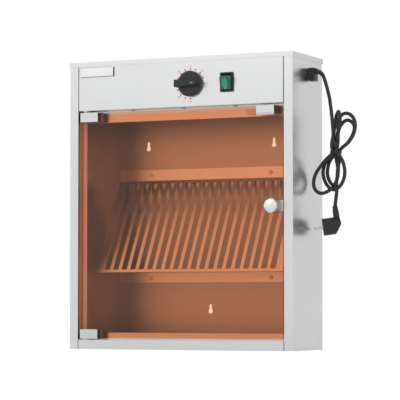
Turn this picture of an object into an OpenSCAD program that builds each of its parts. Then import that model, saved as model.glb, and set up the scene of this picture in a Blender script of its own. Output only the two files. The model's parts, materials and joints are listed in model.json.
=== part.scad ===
// Wall-hung ultraviolet sterilising cabinet for barber tools.
// Folded stainless steel shell, amber glass door on pivot hinges, slotted tool rack,
// timer, rocker switch, germicidal tube and mains lead.
// Millimetres. +X right, +Y back, +Z up. Origin: centre of the cabinet's footprint, at its base.

/* [Cabinet] */
// Width over the side panels
cab_w = 520; // [480:5:560]
// Depth over the side panels
cab_d = 160; // [150:5:190]
// Height over the lid
cab_h = 615; // [600:5:680]
// Thickness of the folded steel sheet
sheet = 1; // [0.8:0.1:1.2]
// Width of each front post
post_w = 20; // [16:1:24]
// Depth of the return behind each front post
post_return = 25; // [22:1:28]
// Height of the front rail under the door
rail_h = 20; // [16:1:24]
// Height of the lip round the lid
lid_lip = 10; // [8:1:14]
// How far the lid stands out behind the cabinet
lid_overhang = 4.5; // [2:0.5:6]
// Height of the control panel
panel_h = 105; // [102:1:110]

/* [Door] */
// Thickness of the door glass
glass_t = 5; // [4:0.5:6]
// Thickness of the metal plates clamped over the glass
plate_t = 2.5; // [2:0.5:3]
// Height of the hinge and catch plates
plate_h = 20; // [18:1:24]
// Width of the hinge plates
plate_w = 42; // [36:1:50]
// Height of the door knob above the base
knob_z = 297.5; // [250:2.5:340]
// Diameter of the door knob
knob_d = 30; // [26:1:34]

/* [Rack] */
// Width of the slotted rack
rack_w = 438; // [420:2:450]
// Number of slots
slot_count = 20; // [14:1:20]
// Width of each slot
slot_w = 12.4; // [10:0.2:13]
// Distance from one slot to the next
slot_pitch = 20.44; // [20:0.02:21]

/* [Controls] */
// Height of the dial and the switch above the base
control_z = 557.5; // [555:0.5:560]
// Position of the timer dial to the right of the middle
timer_x = 28; // [10:1:40]
// Diameter of the timer knob
dial_d = 54; // [48:1:58]
// Position of the rocker switch to the right of the middle
switch_x = 112; // [100:1:140]
// Tilt of the rocker at either end of its travel
rocker_tilt = 13; // [8:1:14]

/* [Hidden] */

steel = "Gainsboro";
satin = "LightGray";
black = "DimGray";
amber = [0.75, 0.45, 0.25, 0.5];

// Planes of the shell
x_out = cab_w / 2;
x_in = x_out - sheet;
y_front = -cab_d / 2;
y_back = cab_d / 2;
y_wall = y_back - 2 * sheet;      // inner face of the back panel
post_x = x_out - post_w;          // inner edge of each post
y_stop = y_front + post_return;   // back face of the strips that the door closes over
gap = 1.5;                        // clearance beside the control panel
panel_z = cab_h - panel_h;        // underside of the control panel
rear_flange = 15;                 // width of the side panels' rear flanges
stop_w = 10;                      // width of the inward stop flanges
strip_x = post_x - gap;           // half width of the strips between the posts
lid_slit = 0.6;                   // width of the slits at the lid's corners
lid_tab = 10;                     // length of the tabs at the lid's rear corners

// Door
door_gap = 2;
door_z0 = rail_h + door_gap;
door_z1 = panel_z - 4;
web = 1.5;                        // metal folded over the glass edges
glass_x0 = -237;
glass_x1 = 236.5;
glass_y0 = y_front + plate_t;
glass_y1 = glass_y0 + glass_t;
glass_bevel = 0.5;
hinge_x = -225;                   // hinge axis
hinge_y = glass_y0 + 3.8;
hinge_x0 = -235;
hinge_block = 17;                 // width of the solid end of each hinge
hinge_screw_x = [-208, -194];
pin_r = 3;
bush_clearance = 0.05;
bush_r = 4;
notch = 0.5;                      // clearance of the glass round the hinge blocks
catch_x0 = 178;
catch_w = 40;
catch_screw_x = [catch_x0 + 12, catch_x0 + 34];
catch_screw_z = door_z1 - 9;
catch_screw_r = 1.8;
knob_x = 217;

// Screws and cut-outs of the shell
lid_screw_x = [-200, 0, 200];
panel_screw_x = [-120, 0, 120];
panel_lip_y = y_front + 22;       // rear edge of the return under the control panel
panel_screw_y = panel_lip_y - 3;
grommet_x = 236;
grommet_y = 24;
grommet_r = 6;

// Lamp space
header_z = 485;
ceiling_z = 529;
lamp_z = 508;
lamp_y = 0;
lamp_half = 218;
lamp_r = 13;
contact_y = 6.35;                 // half the distance between two contact pins

// Parts standing on the chamber ceiling
ballast_screw_x = [-160, 0];
ballast_y = 30;
starter_at = [-60, -30];
starter_hole_r = 11.2;
terminal_x = 184;                 // left end of the terminal strip
terminal_y = 30;

// Rack
rack_y = -35;
rack_z0 = 164.5;
rack_z1 = 366;
rack_top = 390;
rack_foot = 143;
rack_screw_x = 143;
rack_screw_z = [152.5, 378];
screw_r = 2;
screw_head_r = 3.6;
screw_head_t = 2.2;

// Keyholes in the back panel
key_r = 5;
key_slot = 6;
key_reach = 12;                   // from the round hole's centre to the slot's centre at its end
key_points = [[-150, 436.5], [150, 436.5], [0, 80.5]];

// Controls
knob_gap = 0.6;
neck_r = 5.4;
shaft_r = 3;
bezel_w = 30;
bezel_h = 41;
switch_case = [27, 37];           // width and height of the case behind the bezel
rocker_pivot_y = y_front + 4;
rocker_pin_r = 1.5;
rocker_w = 24;
rocker_face = 15;                 // from the rocker's axis to its face

// Gland and mains lead
gland_y = 4;
gland_z = 575;
gland_hole_r = 8.5;
gland_face = 278;
cord_r = 3.75;
wire_r = 1.4;
drop_route = [[294.6, 3, 569], [297.3, 3.8, 561], [300.3, 4.9, 550], [303.6, 6.3, 536],
    [306.3, 7.8, 522], [307.6, 9.2, 508], [308.6, 10.5, 498]];
tail_route = [[314.2, 27, 336], [312.9, 28.3, 326], [311, 29.5, 315], [309.2, 30.6, 305],
    [308.2, 31.3, 297.4]];
boot_route = [[gland_face, 2, 579.4], [283, 2, 578.9], [287.8, 2.1, 576.9], [291.8, 2.4, 573.4],
    [294.6, 3, 569]];
plug_at = [285.2, 20.6, 255.5];     // centre of the plug's flat face
plug_turn = 25;                   // turn of the plug about the vertical
plug_tilt = 8;                    // lean of the plug as it hangs

// ---------- shared shapes ----------

// Block between two opposite corners
module slab(a, b) {
    translate(a)
        cube(b - a);
}

// Prism of a Y-Z outline between two X positions
module along_x(x0, x1) {
    translate([x0, 0, 0])
        rotate([90, 0, 90])
            linear_extrude(height = x1 - x0)
                children();
}

// Prism of an X-Z outline between two Y positions
module along_y(y0, y1) {
    translate([0, y1, 0])
        rotate([90, 0, 0])
            linear_extrude(height = y1 - y0)
                children();
}

// Round bar along X, Y or Z from a point
module rod_x(p, r, len) {
    translate(p)
        rotate([0, 90, 0])
            cylinder(r = r, h = len, $fn = 48);
}

module rod_y(p, r, len) {
    translate(p)
        rotate([-90, 0, 0])
            cylinder(r = r, h = len, $fn = 48);
}

module rod_z(p, r, len) {
    translate(p)
        cylinder(r = r, h = len, $fn = 48);
}

// Rectangle with round corners, about its centre
module round_rect(w, h, r) {
    square([w - 2 * r, h], center = true);
    square([w, h - 2 * r], center = true);
    for (sx = [-1, 1], sz = [-1, 1])
        translate([sx * (w / 2 - r), sz * (h / 2 - r)])
            circle(r = r, $fn = 32);
}

// Edge view of a folded sheet whose middle line runs through the points
module folded(pts, t) {
    for (i = [0 : len(pts) - 2])
        let (run = pts[i + 1] - pts[i])
            translate(pts[i])
                rotate(atan2(run[1], run[0]))
                    translate([0, -t / 2])
                        square([norm(run), t]);
    for (i = [1 : len(pts) - 2])
        translate(pts[i])
            circle(d = t, $fn = 24);
}

// Pan-head screw along Y: its head stands in front of the point, its shank goes back
module screw_y(p, head_r, head_t, r, len) {
    rod_y(p - [0, head_t * 0.6, 0], head_r, head_t * 0.6);
    translate(p - [0, head_t, 0])
        rotate([-90, 0, 0])
            cylinder(r1 = head_r * 0.7, r2 = head_r, h = head_t * 0.4, $fn = 48);
    rod_y(p, r, len);
}

// Unit vector
function unit(v) = v / norm(v);

// Direction of a route at one of its points
function heading(pts, i) = unit(pts[min(i + 1, len(pts) - 1)] - pts[max(i - 1, 0)]);

// Ring of points square to the route at one of its points
function ring(pts, i, r, n, aside) =
    let (h = heading(pts, i), a = unit(cross(h, aside)), b = cross(h, a))
    [for (k = [0 : n - 1]) pts[i] + r * (cos(360 * k / n) * a + sin(360 * k / n) * b)];

// Closed tube along a route that is never parallel to aside; its radius runs evenly from r0 to r1
module tube(pts, r0, r1, n, aside = [0, 1, 0]) {
    last = len(pts) - 1;
    points = [for (i = [0 : last]) each ring(pts, i, r0 + (r1 - r0) * i / last, n, aside)];
    sides = [for (i = [0 : last - 1], k = [0 : n - 1])
        [i * n + k, i * n + (k + 1) % n, (i + 1) * n + (k + 1) % n, (i + 1) * n + k]];
    start = [for (k = [n - 1 : -1 : 0]) k];
    end = [for (k = [0 : n - 1]) last * n + k];
    polyhedron(points = points, faces = concat([start], sides, [end]), convexity = 4);
}

// ---------- steel shell ----------

// Plan of the right-hand side panel: wall, post, return, stop flange and rear flange
module side_plan() {
    h = sheet / 2;
    folded([[post_x - stop_w + sheet, y_stop - h], [post_x + h, y_stop - h], [post_x + h, y_front + h],
        [x_out - h, y_front + h], [x_out - h, y_back - h], [x_out - rear_flange, y_back - h]], sheet);
}

module side_panel() {
    linear_extrude(height = cab_h - sheet)
        side_plan();
}

module left_side_panel() {
    color(steel)
        mirror([1, 0, 0])
            side_panel();
}

module right_side_panel() {
    color(steel)
        difference() {
            side_panel();
            rod_x([x_in - 1, gland_y, gland_z], gland_hole_r, 4);
        }
}

// Wall keyhole: round hole with a narrower slot above it
module keyhole() {
    circle(r = key_r, $fn = 48);
    translate([-key_slot / 2, 0])
        square([key_slot, key_reach]);
    translate([0, key_reach])
        circle(d = key_slot, $fn = 32);
}

module back_panel() {
    color(steel)
        difference() {
            slab([-x_in, y_wall, sheet], [x_in, y_wall + sheet, cab_h - sheet]);
            for (p = key_points)
                along_y(y_wall - 1, y_wall + sheet + 0.5)
                    translate(p)
                        keyhole();
            for (sx = [-1, 1], z = rack_screw_z)
                rod_y([sx * rack_screw_x, y_wall - 1, z], screw_r, 3);
            for (x = lid_screw_x)
                rod_y([x, y_wall - 1, cab_h - lid_lip / 2 - sheet], screw_r, 3);
        }
}

// Floor with a front rail, a top lip and an upstand that the door closes over
module bottom_panel() {
    h = sheet / 2;
    color(steel)
        difference() {
            union() {
                along_x(-strip_x, strip_x)
                    folded([[y_stop - 1.5 * sheet, rail_h + 15], [y_stop - 1.5 * sheet, rail_h - h],
                        [y_front + h, rail_h - h], [y_front + h, h], [y_stop + sheet, h]], sheet);
                slab([-x_in, y_stop + sheet, 0], [x_in, y_wall + sheet, sheet]);
            }
            rod_z([hinge_x, hinge_y, rail_h - 3], bush_r, 6);
        }
}

// Cap over the whole shell, slit at its corners
module lid() {
    y0 = y_front - sheet;
    y1 = y_back + lid_overhang;
    x = x_out + sheet;
    z0 = cab_h - lid_lip;
    color(steel)
        difference() {
            slab([-x, y0, z0], [x, y1, cab_h]);
            slab([-x_out, y_front, z0 - 1], [x_out, y1 - sheet, cab_h - sheet]);
            for (sx = [-1, 1]) {
                translate([sx * x, 0, 0])
                    slab([-sheet, y_front, z0 - 1], [sheet, y_front + lid_slit, cab_h - sheet]);
                translate([sx * x, 0, 0])
                    slab([-sheet, y1 - lid_tab, z0 - 1],
                        [sheet, y1 - lid_tab + 2 * lid_slit, cab_h - sheet]);
            }
            for (x = lid_screw_x)
                rod_y([x, y1 - 3, cab_h - lid_lip / 2 - sheet], screw_r, 6);
        }
}

module lid_screws() {
    reach = lid_overhang + 2 * sheet + 3;
    color(satin)
        for (x = lid_screw_x)
            translate([x, y_back + lid_overhang, cab_h - lid_lip / 2 - sheet])
                rotate([0, 0, 180])
                    screw_y([0, 0, 0], screw_head_r, screw_head_t, screw_r, reach);
}

// Front fascia with its returns, cut for the timer and the switch
module control_panel() {
    h = sheet / 2;
    side_z0 = panel_z + sheet + 3;
    side_z1 = cab_h - 2 * sheet - 3;
    color(steel)
        difference() {
            union() {
                along_x(-strip_x, strip_x)
                    folded([[y_front + 14, cab_h - sheet - h], [y_front + h, cab_h - sheet - h],
                        [y_front + h, panel_z + h], [panel_lip_y, panel_z + h]], sheet);
                for (sx = [-1, 1])
                    translate([sx * (strip_x - h), 0, 0])
                        slab([-h, y_front + sheet, side_z0], [h, y_front + 14, side_z1]);
            }
            rod_y([timer_x, y_front - 1, control_z], neck_r, 4);
            along_y(y_front - 1, y_front + 3)
                translate([switch_x, control_z])
                    square(switch_case, center = true);
            rod_z([hinge_x, hinge_y, panel_z - 1], bush_r, 3);
            for (x = panel_screw_x)
                rod_z([x, panel_screw_y, panel_z - 1], screw_r, 3);
        }
}

module panel_screws() {
    color(satin)
        for (x = panel_screw_x)
            translate([x, panel_screw_y, panel_z])
                rotate([90, 0, 0])
                    screw_y([0, 0, 0], screw_head_r, screw_head_t, screw_r, 4);
}

// Ceiling of the chamber with the strip that hides the lamp
module lamp_canopy() {
    h = sheet / 2;
    y_strip = y_stop - 1.5 * sheet;
    color(steel)
        difference() {
            union() {
                along_x(-strip_x, strip_x) {
                    folded([[y_strip, header_z], [y_strip, ceiling_z + h], [y_stop + sheet, ceiling_z + h]],
                        sheet);
                    translate([panel_screw_y - 3, panel_z + sheet])
                        square([y_strip - panel_screw_y + 3, sheet]);
                }
                slab([-x_in, y_stop + sheet, ceiling_z], [x_in, y_wall, ceiling_z + sheet]);
            }
            for (x = panel_screw_x)
                rod_z([x, panel_screw_y, panel_z], screw_r, 3);
            for (sx = [-1, 1])
                rod_z([sx * grommet_x, grommet_y, ceiling_z - 1], grommet_r, 3);
            translate(starter_at)
                rod_z([0, 0, ceiling_z - 1], starter_hole_r, 3);
            for (x = ballast_screw_x)
                rod_z([x, ballast_y, ceiling_z - 1], screw_r, 3);
            for (x = catch_screw_x)
                rod_y([x, y_strip - 2, catch_screw_z], catch_screw_r, 4);
        }
}

// Blank plate stuck to the left of the control panel
module badge_plate() {
    color("White")
        along_y(y_front - 3, y_front)
            translate([-194.5, 592.5])
                round_rect(81, 20, 1.5);
}

// ---------- tool rack ----------

// Sheet folded into an upper flange, a sloping face, a shelf and a lower flange, with slots in the slope
module tool_rack() {
    h = sheet / 2;
    top = [y_wall - h, rack_z1];
    foot = [rack_y, rack_z0];
    run = foot - top;
    dir = unit(run);
    side = [-dir[1], dir[0]];
    first = top + 7 * dir;
    last = foot - 6 * dir;
    color(steel)
        difference() {
            along_x(-rack_w / 2, rack_w / 2)
                folded([[top[0], rack_top], top, foot, [top[0], rack_z0], [top[0], rack_foot]], sheet);
            for (i = [0 : slot_count - 1])
                let (x = (i - (slot_count - 1) / 2) * slot_pitch)
                    along_x(x - slot_w / 2, x + slot_w / 2)
                        polygon([first - 2 * side, last - 2 * side, last + 2 * side, first + 2 * side]);
            for (sx = [-1, 1], z = rack_screw_z)
                rod_y([sx * rack_screw_x, y_wall - 3, z], screw_r, 5);
        }
}

module rack_screws() {
    color(satin)
        for (sx = [-1, 1], z = rack_screw_z)
            screw_y([sx * rack_screw_x, y_wall - sheet, z], 4, 2.4, screw_r, 2.8);
}

// ---------- lamp and electrics ----------

// Hollow quartz tube
module uv_lamp_tube() {
    half = lamp_half - 3;
    color("AliceBlue")
        difference() {
            rod_x([-half, lamp_y, lamp_z], lamp_r - 0.5, 2 * half);
            rod_x([-half + 2, lamp_y, lamp_z], lamp_r - 1.3, 2 * half - 4);
        }
}

// Metal caps at both ends of the tube, with two contact pins each
module lamp_caps() {
    color("Silver")
        for (sx = [-1, 1])
            mirror([sx < 0 ? 1 : 0, 0, 0]) {
                difference() {
                    rod_x([lamp_half - 14, lamp_y, lamp_z], lamp_r, 14);
                    rod_x([lamp_half - 15, lamp_y, lamp_z], lamp_r - 0.5, 12);
                }
                for (sy = [-1, 1])
                    rod_x([lamp_half, lamp_y + sy * contact_y, lamp_z], 1.2, 7);
            }
}

// Push-in lampholder hanging from the chamber ceiling
module lampholder() {
    x0 = lamp_half + 0.4;
    difference() {
        union() {
            slab([x0, lamp_y - 12, lamp_z], [x0 + 12, lamp_y + 12, ceiling_z]);
            rod_x([x0, lamp_y, lamp_z], 12, 12);
            slab([x0, lamp_y - 15, ceiling_z - 3], [x0 + 16, lamp_y + 15, ceiling_z]);
        }
        for (sy = [-1, 1])
            rod_x([x0 - 1, lamp_y + sy * contact_y, lamp_z], 1.3, 9);
    }
}

module lampholder_left() {
    color("White")
        mirror([1, 0, 0])
            lampholder();
}

module lampholder_right() {
    color("White")
        lampholder();
}

// Choke with its laminated core and mounting feet
module ballast() {
    z0 = ceiling_z + sheet;
    x0 = ballast_screw_x[0];
    x1 = ballast_screw_x[1];
    color("SlateGray")
        difference() {
            union() {
                slab([x0 + 10, ballast_y - 20, z0], [x1 - 10, ballast_y + 20, z0 + 28]);
                slab([x0 - 8, ballast_y - 12, z0], [x1 + 8, ballast_y + 12, z0 + 2]);
            }
            for (x = ballast_screw_x)
                rod_z([x, ballast_y, z0 - 1], screw_r, 5);
        }
}

module ballast_screws() {
    z0 = ceiling_z + sheet + 2;
    color(satin)
        for (x = ballast_screw_x) {
            rod_z([x, ballast_y, z0], screw_head_r, 2);
            rod_z([x, ballast_y, z0 - 5], screw_r, 5);
        }
}

// Glow starter standing in its socket above the ceiling
module starter() {
    color("White")
        translate(starter_at) {
            rod_z([0, 0, ceiling_z + sheet + 6], 10.7, 34);
            for (sx = [-1, 1])
                rod_z([sx * contact_y, 0, ceiling_z + sheet + 1], 1.5, 5);
        }
}

module starter_socket() {
    z0 = ceiling_z + sheet;
    color("WhiteSmoke")
        translate(starter_at)
            difference() {
                union() {
                    rod_z([0, 0, z0], 14, 14);
                    rod_z([0, 0, z0 - 6], starter_hole_r - 0.05, 6);
                }
                rod_z([0, 0, z0 + 6], 10.8, 9);
                for (sx = [-1, 1])
                    rod_z([sx * contact_y, 0, z0 + 1], 1.6, 6);
            }
}

// Screw terminal strip
module terminal_block() {
    z0 = ceiling_z + sheet;
    color("Ivory")
        difference() {
            slab([terminal_x, terminal_y - 10, z0], [terminal_x + 36, terminal_y + 10, z0 + 16]);
            for (i = [0 : 2])
                rod_z([terminal_x + 6 + 12 * i, terminal_y, z0 + 8], 2.6, 9);
        }
}

// Clockwork timer: a case behind the panel and a neck through it
module timer_body() {
    color("Silver")
        difference() {
            union() {
                along_y(y_front + sheet, y_front + 40)
                    translate([timer_x, control_z])
                        square([48, 44], center = true);
                rod_y([timer_x, y_front - 2, control_z], neck_r, 4);
            }
            rod_y([timer_x, y_front - 3, control_z], shaft_r + bush_clearance, 28);
        }
}

module timer_shaft() {
    color("Silver")
        rod_y([timer_x, y_front - 12, control_z], shaft_r, 34);
}

// Outline of the grip across the knob: a wide tail on the left, narrow at the pointing end
module grip_plan() {
    polygon([[-28, -7.5], [-28, 7.5], [-22, 7.8], [2, 5.5], [20, 4.2], [23, 2.5],
        [23, -2.5], [20, -4.2], [2, -5.5], [-22, -7.8]]);
}

// Round skirt with a shallow dome and a grip across it
module timer_knob() {
    y0 = y_front - knob_gap;
    color(black)
        difference() {
            translate([timer_x, y0, control_z])
                rotate([90, 0, 0]) {
                    cylinder(r = dial_d / 2, h = 7, $fn = 96);
                    translate([0, 0, 7])
                        cylinder(r1 = dial_d / 2, r2 = dial_d / 2 - 4, h = 4, $fn = 96);
                    linear_extrude(height = 23)
                        grip_plan();
                }
            rod_y([timer_x, y0 - 4, control_z], 14, 5);
            rod_y([timer_x, y_front - 12, control_z], shaft_r, 12);
        }
}

// White pointer let into the narrow end of the grip
module timer_index() {
    y0 = y_front - knob_gap - 23;
    color("White")
        along_y(y0 - 0.3, y0)
            translate([timer_x, control_z])
                polygon([[9, 1.8], [18.5, 0], [9, -1.8], [10.5, 0]]);
}

// Frame and case of the rocker switch
module switch_bezel() {
    color(black)
        difference() {
            union() {
                along_y(y_front - 3, y_front)
                    translate([switch_x, control_z])
                        round_rect(bezel_w, bezel_h, 2);
                along_y(y_front, y_front + 30)
                    translate([switch_x, control_z])
                        square(switch_case, center = true);
                for (sx = [-1, 0, 1])
                    translate([switch_x + 8 * sx, 0, 0])
                        slab([-0.4, y_front + 30, control_z - 3], [0.4, y_front + 38, control_z + 3]);
            }
            along_y(y_front - 4, y_front + 16)
                translate([switch_x, control_z])
                    square([rocker_w + 0.4, 34.6], center = true);
            translate([switch_x - rocker_w / 2 - 1.1, rocker_pivot_y, control_z])
                rod_x([0, 0, 0], rocker_pin_r + bush_clearance, rocker_w + 2.2);
        }
}

// Position of the rocker as it rests, pressed in at the bottom
module as_rocked() {
    translate([switch_x, rocker_pivot_y, control_z])
        rotate([rocker_tilt, 0, 0])
            children();
}

module switch_rocker() {
    color("SeaGreen")
        as_rocked() {
            along_x(-rocker_w / 2, rocker_w / 2)
                polygon([[-rocker_face, -12], [-rocker_face, 12], [-rocker_face + 1, 13], [-4, 16], [3, 13],
                    [5, 5], [5, -5], [3, -13], [-4, -16], [-rocker_face + 1, -13]]);
            rod_x([-rocker_w / 2 - 1, 0, 0], rocker_pin_r, rocker_w + 2);
        }
}

// Clear window on the face of the rocker
module switch_lens() {
    color("MediumSeaGreen")
        as_rocked()
            along_y(-rocker_face - 0.5, -rocker_face)
                translate([-0.5, 0])
                    round_rect(11.5, 17, 1);
}

// ---------- door ----------

// Glass leaf with eased edges, notched at the two hinge corners
module door_glass() {
    z0 = door_z0 + web;
    z1 = door_z1 - web;
    b = glass_bevel;
    nx = hinge_x0 + hinge_block + notch;
    nz = plate_h - web + notch;
    color(amber)
        difference() {
            intersection() {
                along_x(glass_x0, glass_x1)
                    polygon([[glass_y0, z0 + b], [glass_y0, z1 - b], [glass_y0 + b, z1], [glass_y1 - b, z1],
                        [glass_y1, z1 - b], [glass_y1, z0 + b], [glass_y1 - b, z0], [glass_y0 + b, z0]]);
                translate([0, 0, z0 - 1])
                    linear_extrude(height = z1 - z0 + 2)
                        polygon([[glass_x0 + b, glass_y0], [glass_x1 - b, glass_y0],
                            [glass_x1, glass_y0 + b], [glass_x1, glass_y1 - b],
                            [glass_x1 - b, glass_y1], [glass_x0 + b, glass_y1],
                            [glass_x0, glass_y1 - b], [glass_x0, glass_y0 + b]]);
            }
            slab([glass_x0 - 1, glass_y0 - 1, z1 - nz], [nx, glass_y1 + 1, z1 + 1]);
            slab([glass_x0 - 1, glass_y0 - 1, z0 - 1], [nx, glass_y1 + 1, z0 + nz]);
        }
}

// Lowest height of the hinge at the top of the door, or of the one at the bottom
function hinge_z(top) = top ? door_z1 - plate_h : door_z0;

module hinge_plate(top) {
    z0 = hinge_z(top);
    color(satin)
        along_y(y_front, glass_y0)
            translate([hinge_x0 + plate_w / 2, z0 + plate_h / 2])
                round_rect(plate_w, plate_h, 0.8);
}

// Solid end with the pin's hole, and a jaw that runs on behind the glass
module hinge_body(top) {
    z0 = hinge_z(top);
    x1 = hinge_x0 + hinge_block;
    jaw_x = hinge_x0 + plate_w + 8;
    edge_z = top ? door_z1 - web : door_z0;
    color("DarkGray")
        difference() {
            union() {
                slab([hinge_x0, glass_y0, z0], [x1, glass_y1 + 7, z0 + plate_h]);
                slab([x1, glass_y1 + 0.5, z0], [jaw_x, glass_y1 + 8, z0 + plate_h]);
                slab([x1, glass_y0, edge_z], [jaw_x - 8, glass_y1 + 0.5, edge_z + web]);
            }
            rod_z([hinge_x, hinge_y, z0 - 1], pin_r, plate_h + 2);
            for (x = hinge_screw_x)
                rod_y([x, glass_y1, z0 + plate_h / 2], screw_r, 10);
        }
}

module hinge_pin(top) {
    z0 = top ? door_z1 - plate_h + 2 : rail_h - 6;
    z1 = top ? panel_z + 6 : door_z0 + plate_h - 2;
    color("Silver")
        rod_z([hinge_x, hinge_y, z0], pin_r, z1 - z0);
}

// Flanged bush in the frame that carries the pin
module hinge_bush(top) {
    color("Ivory")
        difference() {
            if (top) {
                rod_z([hinge_x, hinge_y, panel_z - 1.5], 5.5, 1.5);
                rod_z([hinge_x, hinge_y, panel_z - 1.5], bush_r, 7);
            } else {
                rod_z([hinge_x, hinge_y, rail_h], 5.5, 1.5);
                rod_z([hinge_x, hinge_y, rail_h - 5.5], bush_r, 7);
            }
            rod_z([hinge_x, hinge_y, rail_h - 10], pin_r + bush_clearance, panel_z);
        }
}

module hinge_top_plate() {
    hinge_plate(true);
}

module hinge_bottom_plate() {
    hinge_plate(false);
}

module hinge_top_body() {
    hinge_body(true);
}

module hinge_bottom_body() {
    hinge_body(false);
}

module hinge_top_pin() {
    hinge_pin(true);
}

module hinge_bottom_pin() {
    hinge_pin(false);
}

module hinge_top_bush() {
    hinge_bush(true);
}

module hinge_bottom_bush() {
    hinge_bush(false);
}

// Thin pads between the glass and the jaws
module hinge_pads() {
    color("DimGray")
        for (top = [true, false])
            let (z0 = hinge_z(top) + (top ? 0 : web), z1 = z0 + plate_h - web)
                slab([hinge_x0 + hinge_block + 1, glass_y1, z0], [hinge_x0 + plate_w, glass_y1 + 0.5, z1]);
}

// Grub screws in the jaws, pressing on the pads
module hinge_screws() {
    color(satin)
        for (top = [true, false], x = hinge_screw_x)
            difference() {
                rod_y([x, glass_y1 + 0.5, hinge_z(top) + plate_h / 2], screw_r, 7);
                translate([x, glass_y1 + 6, hinge_z(top) + plate_h / 2])
                    rotate([-90, 0, 0])
                        cylinder(r = 1.1, h = 3, $fn = 6);
            }
}

// Strike plate folded over the top edge of the glass, bevelled along its lower edge
module catch_plate() {
    z0 = door_z1 - plate_h;
    color(satin)
        along_x(catch_x0, catch_x0 + catch_w)
            polygon([[y_front, z0 + 5], [y_front, door_z1], [glass_y1 + 2, door_z1], [glass_y1 + 2, z0 + 2],
                [glass_y1, z0 + 2], [glass_y1, door_z1 - web], [glass_y0, door_z1 - web],
                [glass_y0, z0], [y_front + 1.2, z0]]);
}

// Magnet in its case on the strip above the door opening
module magnetic_catch() {
    y1 = y_stop - 2 * sheet;
    color(black)
        slab([catch_x0 + 2, glass_y1 + 2.3, door_z1 - 17], [catch_x0 + 46, y1, door_z1 - 1]);
}

module catch_screws() {
    y1 = y_stop - 2 * sheet;
    color(satin)
        for (x = catch_screw_x)
            translate([x, y1 + sheet, catch_screw_z])
                rotate([0, 0, 180])
                    screw_y([0, 0, 0], 3.4, 2, catch_screw_r, sheet);
}

// Sealed magnetic sensor that puts the lamp out when the door opens
module door_sensor() {
    y1 = y_stop - 2 * sheet;
    color("White")
        slab([catch_x0 - 30, y1 - 7, door_z1 - 16], [catch_x0 - 4, y1, door_z1 - 5]);
}

// Channel clipped over the free edge of the glass
module knob_clip() {
    color(satin)
        difference() {
            slab([knob_x - 11, glass_y0 - 2, knob_z - 11], [glass_x1 + 2, glass_y1 + 2, knob_z + 11]);
            slab([knob_x - 12, glass_y0, knob_z - 12], [glass_x1, glass_y1, knob_z + 12]);
            rod_y([knob_x, glass_y1 - 1, knob_z], 2, 4);
        }
}

// Turned knob: a neck that flares to a round head
module door_knob() {
    y0 = glass_y0 - 2;
    r = knob_d / 2;
    color("Silver")
        translate([knob_x, y0, knob_z])
            rotate([90, 0, 0]) {
                cylinder(r = 8, h = 3, $fn = 64);
                translate([0, 0, 3])
                    cylinder(r1 = 6.5, r2 = 7.5, h = 8, $fn = 64);
                translate([0, 0, 11])
                    cylinder(r1 = 9, r2 = r, h = 4, $fn = 64);
                translate([0, 0, 15])
                    cylinder(r = r, h = 5, $fn = 64);
                translate([0, 0, 20])
                    cylinder(r1 = r, r2 = r - 3, h = 3, $fn = 64);
                translate([0, 0, 23])
                    cylinder(r1 = r - 3, r2 = 4, h = 1.5, $fn = 64);
            }
}

module knob_screw() {
    color(satin)
        translate([knob_x, glass_y1 + 2, knob_z])
            rotate([0, 0, 180])
                screw_y([0, 0, 0], screw_head_r, screw_head_t, screw_r, 2);
}

// ---------- gland, mains lead and plug ----------

// Flange, threaded neck and clamping block of the cable gland
module gland_body() {
    color(black)
        difference() {
            union() {
                rod_x([x_out, gland_y, gland_z], 12.5, 4);
                rod_x([x_out - 10, gland_y, gland_z], gland_hole_r, 10);
                slab([x_out + 4, gland_y - 11, gland_z - 15], [gland_face, gland_y + 9, gland_z + 12]);
            }
            rod_x([x_out - 11, gland_y - 2, gland_z + 4], cord_r, gland_face - x_out + 12);
            for (z = [-10.5, -4])
                translate([0, 0, gland_z + z])
                    slab([x_out + 7, gland_y - 12, 0], [gland_face + 1, gland_y - 9, 3]);
        }
}

module gland_nut() {
    color(black)
        translate([x_in - 5, gland_y, gland_z])
            rotate([0, 90, 0])
                difference() {
                    cylinder(r = 13, h = 5, $fn = 6);
                    translate([0, 0, -1])
                        cylinder(r = gland_hole_r, h = 7, $fn = 48);
                }
}

module gland_screws() {
    color(satin)
        for (dy = [-7, 6])
            rod_z([x_out + 11, gland_y + dy, gland_z + 12], 2.2, 1.4);
}

// Tapered sleeve moulded round the lead where it bends down
module strain_relief() {
    color(black)
        tube(boot_route, 5.2, 3.9, 12);
}

// The lead inside the gland and the cabinet
module supply_lead() {
    color(black)
        rod_x([x_out - 24, gland_y - 2, gland_z + 4], cord_r, gland_face - x_out + 24);
}

// Rubber rings where the lamp wires pass the ceiling
module wire_grommets() {
    color("DimGray")
        for (sx = [-1, 1])
            difference() {
                union() {
                    rod_z([sx * grommet_x, grommet_y, ceiling_z - 1.5], grommet_r + 2, 1.5);
                    rod_z([sx * grommet_x, grommet_y, ceiling_z], grommet_r, sheet);
                    rod_z([sx * grommet_x, grommet_y, ceiling_z + sheet], grommet_r + 2, 1.5);
                }
                rod_z([sx * grommet_x, grommet_y, ceiling_z - 3], 3.5, 8);
            }
}

// Single insulated wire
module wire(pts) {
    tube(pts, wire_r, wire_r, 8, [0.5, 0.4, 0.77]);
}

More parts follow.
